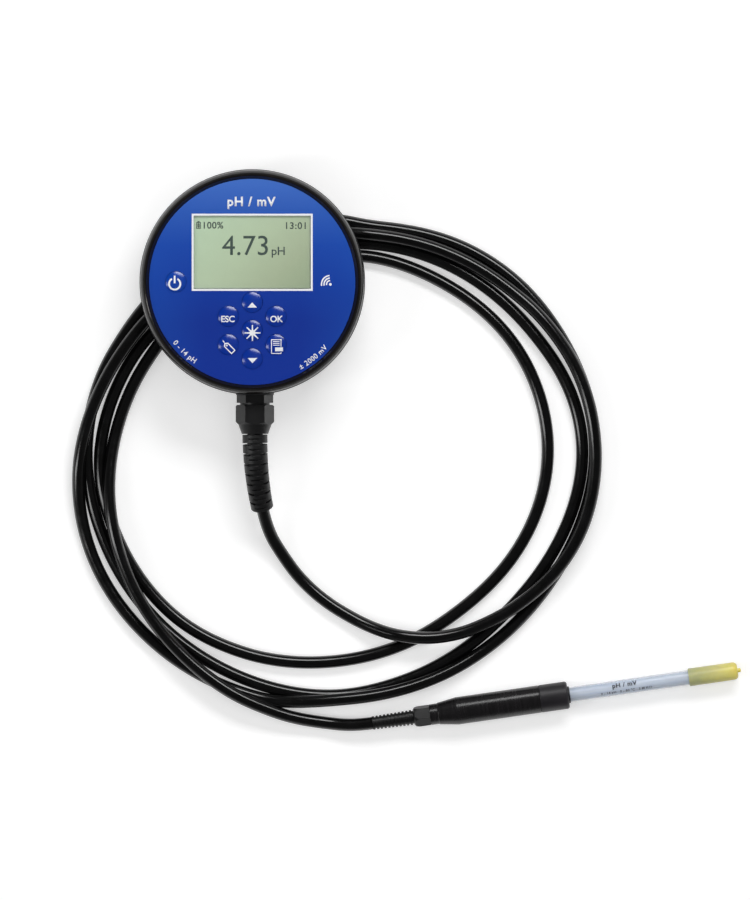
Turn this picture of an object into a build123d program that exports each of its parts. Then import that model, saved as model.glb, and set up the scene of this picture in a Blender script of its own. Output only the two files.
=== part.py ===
"""Handheld redox meter with a coiled lead and a redox probe, lying as it rests on a table.

The meter lies face up on the turns of its own lead. The lead leaves the meter through a cable
gland, runs round in loose turns and ends in the probe, which lies beside the coil.
Millimetres, +Z up. The origin is on the table, under the middle of the meter and the probe.
"""
from build123d import *
import math
import os

os.makedirs("parts", exist_ok=True)

# Lead
cord_d = 6.0
table_gap = 0.4           # room between the top of the lead and the back of the meter

# Meter housing, measured up from its flat back
meter_r = 53.0
meter_h = 36.0
rim_w = 4.6               # rim of the housing round the face
back_curve_w = 19.0       # the back is flat inside this width and curves up to the side
back_curve_h = 14.0
wall = 2.5
back_wall = 3.6
bezel_h = 9.0             # height of the front bezel above its joint with the rear housing
bezel_inset = 0.4         # the bezel is this much smaller than the housing all round
bezel_wall = 2.4
bezel_round_w = 2.4       # rounding of the rim, with a point halfway round it
bezel_round_h = 4.5
bezel_round_mid_w = 0.75
bezel_round_mid_h = 1.5
crest_w = 0.4             # flat top of the rim
face_thick = 1.5
face_recess = 1.6         # how far the face lies below the crest of the bezel
face_gap = 0.2            # between the face and the bezel round it
ledge_w = 3.5             # ledge of the bezel that carries the face
ledge_h = 1.5
seal_w = 1.1
seal_clear = 0.05

# Display
display_w = 55.0
display_h = 34.4
display_y = 13.9
display_gap = 0.2
border_w = 0.9
border_h = 0.15
panel_margin_w = 1.5
panel_margin_h = 0.6

# Keys
key_pitch = 6.63          # from one row of keys to the next
key_column_x = 11.2
key_to_display = 1.5      # from the edge of the first key up to the display
power_to_display = 3.5    # from the edge of the power key across to the display
key_r = 4.8
key_gap = 0.2
key_dome_h = 0.9
key_flange_w = 0.5
key_flange_h = 1.0
key_flange_clear = 0.1
key_travel = 0.4
key_rest_gap = 0.1        # between a pressed key and its switch
switch_side = 6.0

# Circuit board and screws
board_to_pillar = 2.3
board_thick = 1.6
panel_thick = 4.0
post_r = 2.5
post_x = 25.0
post_y = 11.0
board_screw_r = 1.0
board_screw_head_r = 2.0
board_screw_head_h = 1.2
board_screw_l = 6.0
pillar_to_side = 6.8      # from the middle of a pillar to the side of the housing
pillar_r = 4.4
PILLAR_ANGLES = (10.0, 170.0, 230.0, 310.0)
screw_r = 1.45
screw_head_r = 2.75
screw_head_h = 3.0
screw_socket_r = 1.4
screw_socket_depth = 1.5
screw_seat_wall = 7.0     # wall between the head of a housing screw and the bezel
screw_reach = 4.0         # how far a housing screw goes into the bezel
screw_clear = 0.05
counterbore_r = 3.1

# Battery compartment
cell_r = 7.1
cell_l = 50.5
cell_nipple_r = 2.7
cell_nipple_l = 1.0
cell_pitch = 14.8
cell_clear = 0.3
contact_thick = 0.4
contact_bump_r = 2.5
contact_room = 1.75       # length at each end of the cells for the contacts
contact_clear = 0.05
contact_edge = 0.5        # between the contact plates and the sides of the box
contact_short = 1.0       # the contact plates end this far inside the top and bottom of a cell
box_wall = 1.5
cover_side_w = 4.2        # how far the cover reaches past the box, front and back
cover_corner_r = 8.0
cover_gap = 0.2
cover_thick = 1.8
cover_seal_h = 0.8
cover_seal_w = 1.2
cover_screw_to_box = 3.6
cover_screw_to_end = 2.4
cover_screw_boss_r = 2.4
cover_screw_l = 8.0
cover_screw_head_r = 2.0
cover_screw_sunk = 0.2
cover_screw_seat = 1.1
cover_screw_tip_wall = 1.0

# Cable gland on the side of the meter
gland_x = 1.2
gland_boss_r = 9.0
gland_boss_l = 4.0
gland_boss_to_bezel = 0.5
gland_flange_l = 3.8
gland_neck_l = 0.9
gland_nut_l = 13.7
gland_nut_hex_l = 8.8     # length of the nut before its cone
gland_flange_corner = 17.2
gland_nut_corner = 18.1
gland_nut_end_r = 6.2
gland_nut_rear_w = 0.5    # what its rear chamfer leaves of the nut outside its flats
gland_nut_rear_l = 0.6
gland_nut_slope_in = 0.8  # the corners slope off from here before the end of the hexagon
gland_nut_slope_out = 0.4 # to here past it
gland_thread_r = 6.0
gland_thread_gap = 0.1
gland_neck_r = 7.0
gland_thread_l = 4.5      # length of the thread inside the boss
gland_spigot_l = 5.8
gland_bore_gap = 0.3
locknut_corner = 15.6
locknut_h = 2.5
gland_seal_l = 3.0
entry_l = 3.0             # how far the lead reaches past the thread

# Strain relief on the meter, a slotted sleeve that bends under the weight of the lead
relief_l = 36.5
relief_bend = 32.3
relief_swing = 70.0       # the bend goes down and a little to the side
relief_ribs = 8
relief_rib_gap = 0.8
relief_core_r = 3.7
relief_start_r = 5.9
relief_end_r = 5.3
relief_web_w = 5.0
relief_web_inset = 0.5    # the webs end this far inside the ribs
relief_web_sunk = 0.2     # the webs reach this far into the ribs on each side
relief_groove_w = 0.7
relief_groove_d = 1.0

# Probe, with the lengths of its pieces in order from the rear
probe_tilt = 8.2
probe_relief_l = 19.5
probe_relief_rear_r = 3.2
probe_relief_front_r = 3.6
probe_relief_ribs = 11
probe_relief_rib_share = 0.6
probe_relief_groove = 0.55
probe_stem_r = 2.4
probe_stem_l = 10.5
probe_nut_l = 7.9
probe_nut_corner = 10.0
probe_nut_nose_l = 2.4
probe_nut_nose_w = 0.9
probe_nut_nose_round = 0.7
probe_nut_edge = 0.4
probe_nut_wall = 0.95
probe_nut_turn = 75
probe_spigot_l = 5.4
fit_gap = 0.1             # between turned parts that slide into one another
neck_l = 3.7
neck_r = 4.9
neck_step = 0.25          # foot of the cone outside the neck
handle_r = 6.5
handle_cone_l = 9.1
handle_grip_l = 39.5
handle_wall = 1.5
handle_cavity_l = 44.7    # from the start of the cavity in the cone to the front end
collar_l = 13.4
collar_edge_r = 1.2
collar_spigot_l = 10.0
joint_groove = 0.25
o_ring_w = 1.2
o_ring_depth = 0.7
o_ring_back = 4.0         # distance of the o-ring from the joint line
tube_seal_l = 0.8
tube_seal_w = 0.4
tube_r = 3.6
tube_wall = 0.6
tube_out_l = 77.5         # length of the tube in front of the collar
tube_seat_l = 8.7         # length of the tube behind the front end of the handle
tube_tip_wall = 1.2
tube_tip_round = 1.5
tube_plug_l = 6.0
inner_tube_r = 1.3
inner_tube_short = 10.6   # from the end of the inner tube to the tip of the tube
platinum_r = 0.5
platinum_out = 1.7        # length of the platinum pin in front of the tip
reference_wire_r = 0.3
reference_wire_y = 2.0
reference_wire_short = 20.6
cap_over_tube_l = 20.2
cap_wall_rear = 0.55
cap_wall_front = 0.45
cap_bore_gap = 0.1
cap_floor_gap = 0.9       # between the platinum tip and the inside of the cap
cap_floor = 0.5
cap_nub_l = 1.5
cap_nub_r = 1.0
cap_nub_round = 0.6
cap_round_r = 1.9
probe_board_l = 30.0
probe_board_clear = 1.0
probe_board_edge = 0.3
probe_board_thick = 1.0

# Lay-out on the table, from the middle of the meter
coil_dx = 39.8
coil_dy = -84.6
probe_dx = 56.5
probe_dy = -207.5

# The coil: stations along each turn, as angle in degrees from +X, radius of the middle of the
# lead about the middle of the coil, and its height. The first turn starts where the lead from
# the meter comes onto the coil, and the last one ends where the lead leaves for the probe.
TURN_1 = [
    (-40, 108.4, 9.1), (-15, 119.7, 9.1), (15, 121.7, 9.1), (37.5, 117.2, 8.3), (45, 114.9, 6.8),
    (75, 109.1, 7.5), (82.5, 108.0, 7.9), (90, 108.4, 4.7), (97.5, 108.8, 3.0), (120, 108.8, 3.0),
    (135, 110.1, 3.2), (142.5, 111.7, 7.5), (150, 113.1, 8.0), (165, 117.1, 9.0),
    (180, 121.5, 8.0), (195, 123.4, 3.0), (210, 122.9, 3.0), (247.5, 117.5, 3.0),
    (255, 116.5, 4.9), (262.5, 113.7, 8.0), (270, 111.7, 9.0), (285, 111.2, 8.3),
    (300, 111.9, 5.6), (307.5, 112.3, 3.4), (330, 114.9, 3.0),
]
TURN_2 = [
    (0, 121.5, 3.0), (15, 121.7, 3.0), (30, 120.6, 3.0), (45, 119.7, 3.0), (60, 117.2, 3.0),
    (82.5, 111.9, 3.0), (90, 114.1, 3.0), (120, 114.9, 3.0), (135, 116.1, 3.0), (150, 116.7, 3.0),
    (160, 118.1, 3.0), (180, 118.0, 3.0), (195, 116.1, 3.0), (240, 111.4, 3.0),
    (270, 110.0, 3.0), (285, 107.8, 3.0), (315, 106.2, 3.0), (330, 108.4, 3.0),
]
TURN_3 = [
    (0, 115.5, 3.0), (15, 115.1, 3.0), (35, 110.2, 3.0), (82.5, 103.9, 3.0), (90, 102.6, 3.0),
    (135, 104.0, 3.0), (150, 107.6, 3.0), (180, 111.9, 3.0), (195, 110.1, 3.0),
    (225, 105.3, 3.0), (240, 101.0, 3.0), (270, 93.7, 3.0), (300, 90.5, 3.0), (315, 91.0, 3.0),
]
TURN_4 = [
    (0, 99.1, 3.0), (30, 100.3, 3.0), (60, 98.0, 3.0), (82.5, 97.9, 3.0), (90, 96.7, 3.0),
    (120, 96.8, 3.0), (135, 98.0, 3.0), (142, 100.2, 3.0), (150, 101.0, 3.0),
    (172.5, 105.0, 3.3), (187.5, 108.3, 8.3), (195, 109.7, 9.1), (232.5, 116.6, 8.9),
    (255, 121.4, 8.5), (262.5, 121.7, 4.6),
]
TURNS = [TURN_1, TURN_2, TURN_3, TURN_4]
STATIONS = [(a + 360 * k, r, h) for k, turn in enumerate(TURNS) for a, r, h in turn]
outline_step = 15         # degrees between the points of the coil's outline
inner_strand_leaves = 720 + 210
inner_strand_joins = 1080 + 90
gap_from = 720 + 225          # gap between the bundle and the strand inside it
gap_to = 1080 + 75
upper_layer_from = 147
upper_layer_to = 440
upper_layer_w = 9.0
upper_layer_top = 12.2
coil_edge_r = 1.0

# Free stretches of the lead, from the middle of the coil: from the meter's strain relief over
# the inner strand onto the coil, and from the coil to the probe's strain relief. The ends in
# the two strain reliefs are worked out below.
LEAD_ROUTE = [
    (-26.1, -43.3, 4.2), (-17.7, -54.9, 3.0), (-6.1, -65.5, 3.0), (7.8, -74.0, 3.2),
    (19.8, -79.4, 6.2), (31.1, -82.3, 9.4), (45.2, -83.1, 9.4), (59.4, -80.5, 9.2),
    (72.3, -75.0, 9.1), (84.3, -68.3, 9.1),
]
TAIL_ROUTE = [(-29.4, -117.8, 6.5), (-18.5, -120.9, 4.6), (-5.5, -122.9, 3.2)]
lead_first_run = 12.5
tail_last_run = 9.0
tail_last_drop = 0.9
arc_share = 0.45          # share of the shorter run that an arc takes at each end

# Half the width of a hexagon across its flats, as a share of that across its corners
hexagon_flat_share = math.cos(math.radians(30))

# Sizes of the face and the housing that follow from the sizes above
face_r = meter_r - rim_w
back_flat_r = meter_r - back_curve_w
split_h = meter_h - bezel_h
face_top = meter_h - face_recess
face_under = face_top - face_thick
bezel_r = meter_r - bezel_inset
bezel_inner_r = bezel_r - bezel_wall
crest_r = bezel_r - bezel_round_w
face_seat_r = face_r + face_gap
ledge_r = face_seat_r - ledge_w
ledge_under = face_under - ledge_h
seal_mid_r = bezel_r - bezel_wall / 2
panel_w = display_w + 2 * panel_margin_w
panel_h = display_h + 2 * panel_margin_h
board_top = face_under - panel_thick
board_under = board_top - board_thick
switch_h = key_flange_clear + key_flange_h + key_travel + key_rest_gap
switch_top = face_under - switch_h
first_key_y = display_y - display_h / 2 - key_r - key_to_display
KEY_PLACES = {
    "power": (-(display_w / 2 + key_r + power_to_display), 0),
    "up": (0, first_key_y),
    "escape": (-key_column_x, first_key_y - key_pitch),
    "ok": (key_column_x, first_key_y - key_pitch),
    "light": (0, first_key_y - 2 * key_pitch),
    "probe": (-key_column_x, first_key_y - 3 * key_pitch),
    "log": (key_column_x, first_key_y - 3 * key_pitch),
    "down": (0, first_key_y - 4 * key_pitch),
}
pillar_circle_r = meter_r - pillar_to_side
board_r = pillar_circle_r - pillar_r - board_to_pillar
screw_seat_h = split_h - screw_seat_wall
BOARD_SCREW_PLACES = [(post_x, -post_y), (-post_x, -post_y)]
POST_PLACES = BOARD_SCREW_PLACES + [(post_x, post_y), (-post_x, post_y)]

# Sizes of the battery compartment that follow from its cells
box_l = cell_l + 2 * contact_room
box_d = cell_pitch + 2 * cell_r + 2 * cell_clear
cell_z = cover_thick + cell_clear + cell_r
box_roof = cell_z + cell_r + cell_clear
cover_recess = cover_thick + cover_seal_h
cover_screw_x = box_l / 2 + cover_screw_to_box
cover_screw_end = cover_screw_seat + cover_screw_l
cover_w = 2 * (cover_screw_x + cover_screw_to_end)
cover_d = box_d + 2 * cover_side_w

# Places along the gland, from the middle of the meter
gland_h = split_h - gland_boss_to_bezel - gland_boss_r
gland_inner_face = meter_r - gland_boss_l
gland_thread_in = gland_inner_face - gland_thread_l
gland_flange_out = meter_r + gland_flange_l
gland_nut_in = gland_flange_out + gland_neck_l
gland_spigot_out = gland_nut_in + gland_spigot_l
gland_nut_edge = gland_nut_in + gland_nut_hex_l
gland_nut_out = gland_nut_in + gland_nut_l

# Places along the probe, from the rear end of its strain relief
probe_nut_end = probe_relief_l + probe_nut_l
neck_end = probe_nut_end + neck_l
handle_cone_end = neck_end + handle_cone_l
handle_end = handle_cone_end + handle_grip_l
handle_bore_r = handle_r - handle_wall
handle_cavity_start = handle_end - handle_cavity_l
probe_spigot_start = probe_nut_end - probe_spigot_l
probe_spigot_r = probe_nut_corner / 2 * hexagon_flat_share - probe_nut_wall
collar_end = handle_end + collar_l
collar_spigot_r = handle_bore_r - fit_gap
collar_spigot_start = handle_end - collar_spigot_l
tube_start = handle_end - tube_seat_l
tube_end = collar_end + tube_out_l
inner_tube_end = tube_end - inner_tube_short
platinum_end = tube_end + platinum_out
cap_bore_r = tube_r + cap_bore_gap
cap_start = tube_end - cap_over_tube_l
cap_bore_end = platinum_end + cap_floor_gap
cap_shoulder = cap_bore_end + cap_floor
cap_end = cap_shoulder + cap_nub_l

# Places on the table
meter_z = cord_d + table_gap
probe_cos = math.cos(math.radians(probe_tilt))
footprint_right = probe_dx + cap_end * probe_cos
footprint_front = probe_dy - probe_relief_rear_r * probe_cos
meter_x = (meter_r - footprint_right) / 2
meter_y = -(meter_r + footprint_front) / 2
METER = Location((meter_x, meter_y, meter_z))
PROBE = Location((meter_x + probe_dx, meter_y + probe_dy, handle_r), (0, 0, probe_tilt))
COIL = Location((meter_x + coil_dx, meter_y + coil_dy, 0))
ALONG_PROBE = Rotation(0, 90, 0)
ALONG_GLAND = Location((gland_x, 0, gland_h)) * Rotation(90, 0, 0)


def turned(*points):
    """Solid of revolution about Z from (radius, height) points."""
    return revolve(Plane.XZ * make_face(Polyline(*points, close=True)), Axis.Z)


def disc(radius, low, high, place=(0, 0)):
    """Upright cylinder between two heights."""
    return Pos(place[0], place[1], low) * Cylinder(
        radius, high - low, align=(Align.CENTER, Align.CENTER, Align.MIN))


def tube(outer, inner, low, high):
    """Upright ring between two heights."""
    return disc(outer, low, high) - disc(inner, low, high)


def block(width, depth, low, high, place=(0, 0)):
    """Upright box between two heights."""
    return Pos(place[0], place[1], low) * Box(
        width, depth, high - low, align=(Align.CENTER, Align.CENTER, Align.MIN))


def rounded_block(width, depth, corner, low, high):
    """Upright box with rounded corners between two heights."""
    return Pos(0, 0, low) * extrude(RectangleRounded(width, depth, corner), high - low)


def hexagon(corner, low, high, turn=0):
    """Upright hexagonal prism of a width across its corners."""
    outline = Rotation(0, 0, turn) * RegularPolygon(corner / 2, 6)
    return Pos(0, 0, low) * extrude(outline, high - low)


def on_circle(radius, angle):
    """Place on a circle about the middle of the meter."""
    return (radius * math.cos(math.radians(angle)), radius * math.sin(math.radians(angle)))


def bowl(inset, floor, top):
    """Solid with the flat and curved back of the meter, inset by a wall."""
    side = meter_r - inset
    curve_top = back_curve_h
    curve = EllipticalCenterArc(
        (back_flat_r, curve_top), side - back_flat_r, curve_top - floor, 270, arc_size=90)
    lines = Polyline((side, curve_top), (side, top), (0, top), (0, floor), (back_flat_r, floor))
    return revolve(Plane.XZ * make_face(curve + lines), Axis.Z)


def rear_housing():
    """Moulded rear shell with pillars, board posts, battery box and gland boss."""
    outside = bowl(0, 0, split_h)
    shell = outside - bowl(wall, back_wall, split_h)
    for angle in PILLAR_ANGLES:
        shell += disc(pillar_r, 0, split_h, on_circle(pillar_circle_r, angle)) & outside
    shell += block(box_l + 2 * box_wall, box_d + 2 * box_wall, back_wall, box_roof + box_wall)
    for place in POST_PLACES:
        shell += disc(post_r, box_roof, board_under, place)
    for side in (-1, 1):
        shell += disc(cover_screw_boss_r, back_wall, cover_screw_end + cover_screw_tip_wall,
                      (side * cover_screw_x, 0))
    shell += ALONG_GLAND * disc(gland_boss_r, gland_inner_face, meter_r)
    shell -= block(box_l, box_d, 0, box_roof)
    shell -= rounded_block(cover_w, cover_d, cover_corner_r, 0, cover_recess)
    for side in (-1, 1):
        place = (side * cover_screw_x, 0)
        shell -= disc(board_screw_r + screw_clear, cover_recess, cover_screw_end, place)
    for angle in PILLAR_ANGLES:
        place = on_circle(pillar_circle_r, angle)
        shell -= disc(counterbore_r, 0, screw_seat_h, place)
        shell -= disc(screw_r + screw_clear, screw_seat_h, split_h, place)
    for place in BOARD_SCREW_PLACES:
        shell -= disc(board_screw_r + screw_clear, board_under - board_screw_l, board_under, place)
    return shell - ALONG_GLAND * disc(
        gland_thread_r + gland_thread_gap, gland_thread_in, gland_flange_out)


def front_bezel():
    """Glossy ring round the face, with the ledge that carries the face and the screw bosses."""
    outer_round = ThreePointArc(
        (bezel_r, meter_h - bezel_round_h),
        (bezel_r - bezel_round_mid_w, meter_h - bezel_round_mid_h), (crest_r, meter_h))
    lines = Polyline(
        (crest_r, meter_h), (crest_r - crest_w, meter_h), (face_seat_r, face_top + crest_w / 4),
        (face_seat_r, face_under), (ledge_r, face_under), (ledge_r, ledge_under),
        (bezel_inner_r, ledge_under), (bezel_inner_r, split_h), (bezel_r, split_h),
        (bezel_r, meter_h - bezel_round_h))
    ring = revolve(Plane.XZ * make_face(outer_round + lines), Axis.Z)
    for angle in PILLAR_ANGLES:
        ring += disc(pillar_r, split_h, face_under, on_circle(pillar_circle_r, angle))
    for angle in PILLAR_ANGLES:
        place = on_circle(pillar_circle_r, angle)
        ring -= disc(screw_r + screw_clear, split_h, split_h + screw_reach, place)
    groove = tube(seal_mid_r + seal_w / 2 + seal_clear, seal_mid_r - seal_w / 2 - seal_clear,
                  split_h, split_h + seal_w + seal_clear)
    return ring - groove


def housing_seal():
    """Rubber ring in the groove of the bezel."""
    return tube(seal_mid_r + seal_w / 2, seal_mid_r - seal_w / 2, split_h, split_h + seal_w)


def housing_screws():
    """Four screws that hold the rear housing to the bezel, as separate solids."""
    screws = []
    for angle in PILLAR_ANGLES:
        place = on_circle(pillar_circle_r, angle)
        head = disc(screw_head_r, screw_seat_h - screw_head_h, screw_seat_h, place)
        recess = Pos(*place, screw_seat_h - screw_head_h) * extrude(
            RegularPolygon(screw_socket_r, 6), screw_socket_depth)
        shank = disc(screw_r, screw_seat_h, split_h + screw_reach - screw_clear, place)
        screws.append(head + shank - recess)
    return screws


def face_plate():
    """Blue front plate with the display opening and the key holes."""
    plate = disc(face_r, face_under, face_top)
    plate -= block(display_w, display_h, face_under, face_top, (0, display_y))
    for place in KEY_PLACES.values():
        plate -= disc(key_r + key_gap, face_under, face_top, place)
    return plate


def display_window():
    """Clear pane in the opening of the face."""
    return block(display_w - 2 * display_gap, display_h - 2 * display_gap, face_under, face_top,
                 (0, display_y))


def display_border():
    """White frame printed round the display, as a thin raised line."""
    outside = block(display_w + 2 * border_w, display_h + 2 * border_w, face_top,
                    face_top + border_h, (0, display_y))
    return outside - block(display_w, display_h, face_top, face_top + border_h, (0, display_y))


def display_panel():
    """Liquid crystal panel between the circuit board and the window."""
    return block(panel_w, panel_h, board_top, face_under, (0, display_y))


def key(place):
    """Domed key with a flange that keeps it under the face."""
    flange_top = face_under - key_flange_clear
    flange_low = flange_top - key_flange_h
    flange_r = key_r + key_flange_w
    sphere_r = (key_r ** 2 + key_dome_h ** 2) / (2 * key_dome_h)
    half_h = math.sqrt(sphere_r ** 2 - (key_r / 2) ** 2) - sphere_r + key_dome_h
    dome = ThreePointArc(
        (key_r, face_top), (key_r / 2, face_top + half_h), (0, face_top + key_dome_h))
    lines = Polyline(
        (0, face_top + key_dome_h), (0, flange_low), (flange_r, flange_low),
        (flange_r, flange_top), (key_r, flange_top), (key_r, face_top))
    return Pos(*place, 0) * revolve(Plane.XZ * make_face(dome + lines), Axis.Z)


def key_switches():
    """One push switch on the board under each key, as separate solids."""
    return [block(switch_side, switch_side, board_top, switch_top, place)
            for place in KEY_PLACES.values()]


def circuit_board():
    """Round board that carries the display panel and the switches."""
    board = disc(board_r, board_under, board_top)
    for place in BOARD_SCREW_PLACES:
        board -= disc(board_screw_r + screw_clear, board_under, board_top, place)
    return board


def board_screws():
    """Two screws that hold the board to its posts."""
    return [disc(board_screw_head_r, board_top, board_top + board_screw_head_h, place)
            + disc(board_screw_r, board_top - board_screw_l, board_top, place)
            for place in BOARD_SCREW_PLACES]


def battery(side):
    """Round cell lying in the battery box, with the nipple at one end."""
    middle = Pos(0, side * cell_pitch / 2, cell_z) * Rotation(0, 90 * side, 0)
    body = disc(cell_r, -cell_l / 2, cell_l / 2 - cell_nipple_l)
    return middle * (body + disc(cell_nipple_r, 0, cell_l / 2))


def battery_contacts():
    """Contact plates at both ends of the cells, each with a bump on every cell."""
    plates = []
    for side in (-1, 1):
        outer = box_l / 2 - contact_clear
        plate_x = side * (outer - contact_thick / 2)
        plate_half_h = cell_r - contact_short
        plate = block(contact_thick, box_d - 2 * contact_edge, cell_z - plate_half_h,
                      cell_z + plate_half_h, (plate_x, 0))
        bump_l = outer - contact_thick - cell_l / 2 - contact_clear
        for row in (-1, 1):
            bump_x = side * (cell_l / 2 + contact_clear + bump_l / 2)
            plate += Pos(bump_x, row * cell_pitch / 2, cell_z) * Rotation(0, 90, 0) * Cylinder(
                contact_bump_r, bump_l)
        plates.append(plate)
    return plates


def battery_cover():
    """Cover of the battery box, flush with the back."""
    cover = rounded_block(cover_w - 2 * cover_gap, cover_d - 2 * cover_gap,
                          cover_corner_r - cover_gap, 0, cover_thick)
    for side in (-1, 1):
        place = (side * cover_screw_x, 0)
        cover -= disc(board_screw_r + screw_clear, 0, cover_thick, place)
        cover -= disc(cover_screw_head_r + 2 * screw_clear, 0, cover_screw_seat, place)
    return cover


def battery_cover_seal():
    """Flat rubber ring round the mouth of the battery box."""
    inside_l = box_l + 2 * cover_gap
    inside_d = box_d + 2 * cover_gap
    ring = block(inside_l + 2 * cover_seal_w, inside_d + 2 * cover_seal_w, cover_thick,
                 cover_recess)
    return ring - block(inside_l, inside_d, cover_thick, cover_recess)


def battery_cover_screws():
    """Two countersunk screws of the battery cover."""
    return [disc(cover_screw_head_r, cover_screw_sunk, cover_screw_seat, (side * cover_screw_x, 0))
            + disc(board_screw_r, cover_screw_seat, cover_screw_end - screw_clear,
                   (side * cover_screw_x, 0))
            for side in (-1, 1)]


def gland_body():
    """Threaded body of the cable gland with its hexagonal flange against the housing."""
    bore_r = cord_d / 2 + gland_bore_gap
    body = disc(gland_thread_r, gland_thread_in, meter_r)
    body += hexagon(gland_flange_corner, meter_r, gland_flange_out)
    body += disc(gland_neck_r, gland_flange_out, gland_nut_in)
    body += disc(gland_thread_r, gland_nut_in, gland_spigot_out)
    return ALONG_GLAND * (body - disc(bore_r, gland_thread_in, gland_spigot_out))


def gland_locknut():
    """Nut inside the housing that holds the gland."""
    nut = hexagon(locknut_corner, gland_inner_face - locknut_h, gland_inner_face)
    hole = disc(gland_thread_r + gland_thread_gap, gland_inner_face - locknut_h, gland_inner_face)
    return ALONG_GLAND * (nut - hole)


def gland_seal():
    """Rubber sleeve that grips the lead inside the nut."""
    return ALONG_GLAND * tube(gland_thread_r, cord_d / 2 + seal_clear, gland_spigot_out,
                              gland_spigot_out + gland_seal_l)


def gland_nut():
    """Hexagonal dome nut of the gland, with a cone towards the strain relief."""
    corner_r = gland_nut_corner / 2
    flat_r = corner_r * hexagon_flat_share
    envelope = turned(
        (0, gland_nut_in), (flat_r + gland_nut_rear_w, gland_nut_in),
        (corner_r, gland_nut_in + gland_nut_rear_l), (corner_r, gland_nut_edge - gland_nut_slope_in),
        (flat_r, gland_nut_edge + gland_nut_slope_out), (gland_nut_end_r, gland_nut_out),
        (0, gland_nut_out))
    nut = hexagon(gland_nut_corner, gland_nut_in, gland_nut_out) & envelope
    cavity_end = gland_spigot_out + gland_seal_l + fit_gap
    nut -= disc(gland_thread_r + gland_thread_gap, gland_nut_in, cavity_end)
    return ALONG_GLAND * (nut - disc(cord_d / 2 + gland_bore_gap, gland_nut_in, gland_nut_out))


def cable_entry():
    """Straight end of the lead inside the gland."""
    return ALONG_GLAND * disc(cord_d / 2, gland_thread_in - entry_l, gland_nut_out)


def relief_plane(distance):
    """Plane across the bent strain relief at a distance along its middle line."""
    bend_r = relief_l / math.radians(relief_bend)
    turn = distance / bend_r
    side = math.cos(math.radians(relief_swing))
    down = -math.sin(math.radians(relief_swing))
    offset = bend_r * (1 - math.cos(turn))
    middle = (offset * side, offset * down, gland_nut_out + bend_r * math.sin(turn))
    forward = (math.sin(turn) * side, math.sin(turn) * down, math.cos(turn))
    return Plane(origin=middle, x_dir=(1, 0, 0), z_dir=forward)


def strain_relief():
    """Bent sleeve with ribs: open at the sides between ribs, grooved across each rib."""
    start, middle, end = (relief_plane(relief_l * share).origin for share in (0, 0.5, 1))
    core = sweep(relief_plane(0) * Circle(relief_core_r), path=ThreePointArc(start, middle, end))
    pitch = relief_l / relief_ribs
    sleeve = core
    for index in range(relief_ribs):
        share = index / (relief_ribs - 1)
        rib_r = relief_start_r + (relief_end_r - relief_start_r) * share
        middle = relief_plane((index + 0.5) * pitch)
        rib = Cylinder(rib_r, pitch - relief_rib_gap)
        for side in (-1, 1):
            rib -= Pos(0, side * rib_r, 0) * Box(
                2 * relief_web_w, 2 * relief_groove_d, relief_groove_w)
        sleeve += middle.location * rib
        if index:
            joint = relief_plane(index * pitch)
            web = Box(relief_web_w, 2 * (rib_r - relief_web_inset),
                      relief_rib_gap + 2 * relief_web_sunk)
            sleeve += joint.location * web
    return ALONG_GLAND * sleeve


def polar(radius, angle):
    """Point on the table about the middle of the coil."""
    return (radius * math.cos(math.radians(angle)), radius * math.sin(math.radians(angle)))


def turn_radius(angle):
    """Radius of the coil's strand at an angle counted through all the turns."""
    last = len(STATIONS) - 2
    index = min(sum(1 for station in STATIONS[1:-1] if station[0] <= angle), last)
    before, start, end, after = (STATIONS[max(min(index + step, last + 1), 0)]
                                 for step in (-1, 0, 1, 2))
    span = end[0] - start[0]
    share = (angle - start[0]) / span
    slope_start = (end[1] - before[1]) / (end[0] - before[0]) * span
    slope_end = (after[1] - start[1]) / (after[0] - start[0]) * span
    return ((2 * share ** 3 - 3 * share ** 2 + 1) * start[1]
            + (share ** 3 - 2 * share ** 2 + share) * slope_start
            + (3 * share ** 2 - 2 * share ** 3) * end[1]
            + (share ** 3 - share ** 2) * slope_end)


def strand_radii(angle, bundled=False):
    """Radii at which the lead passes an angle, all of them or only those in the bundle."""
    passes = [angle % 360 + 360 * turn for turn in range(len(TURNS))]
    return [turn_radius(one) for one in passes if one <= STATIONS[-1][0]
            and not (bundled and inner_strand_leaves < one < inner_strand_joins)]


def angles_between(start, end):
    """Angles from start to end, at most one outline step apart."""
    count = math.ceil((end - start) / outline_step)
    return [start + (end - start) * index / count for index in range(count + 1)]


def band(inner, outer):
    """Outline of an open band between two rows of points."""
    return make_face(Spline(*inner) + Line(inner[-1], outer[-1]) + Spline(*reversed(outer))
                     + Line(outer[0], inner[0]))


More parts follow.
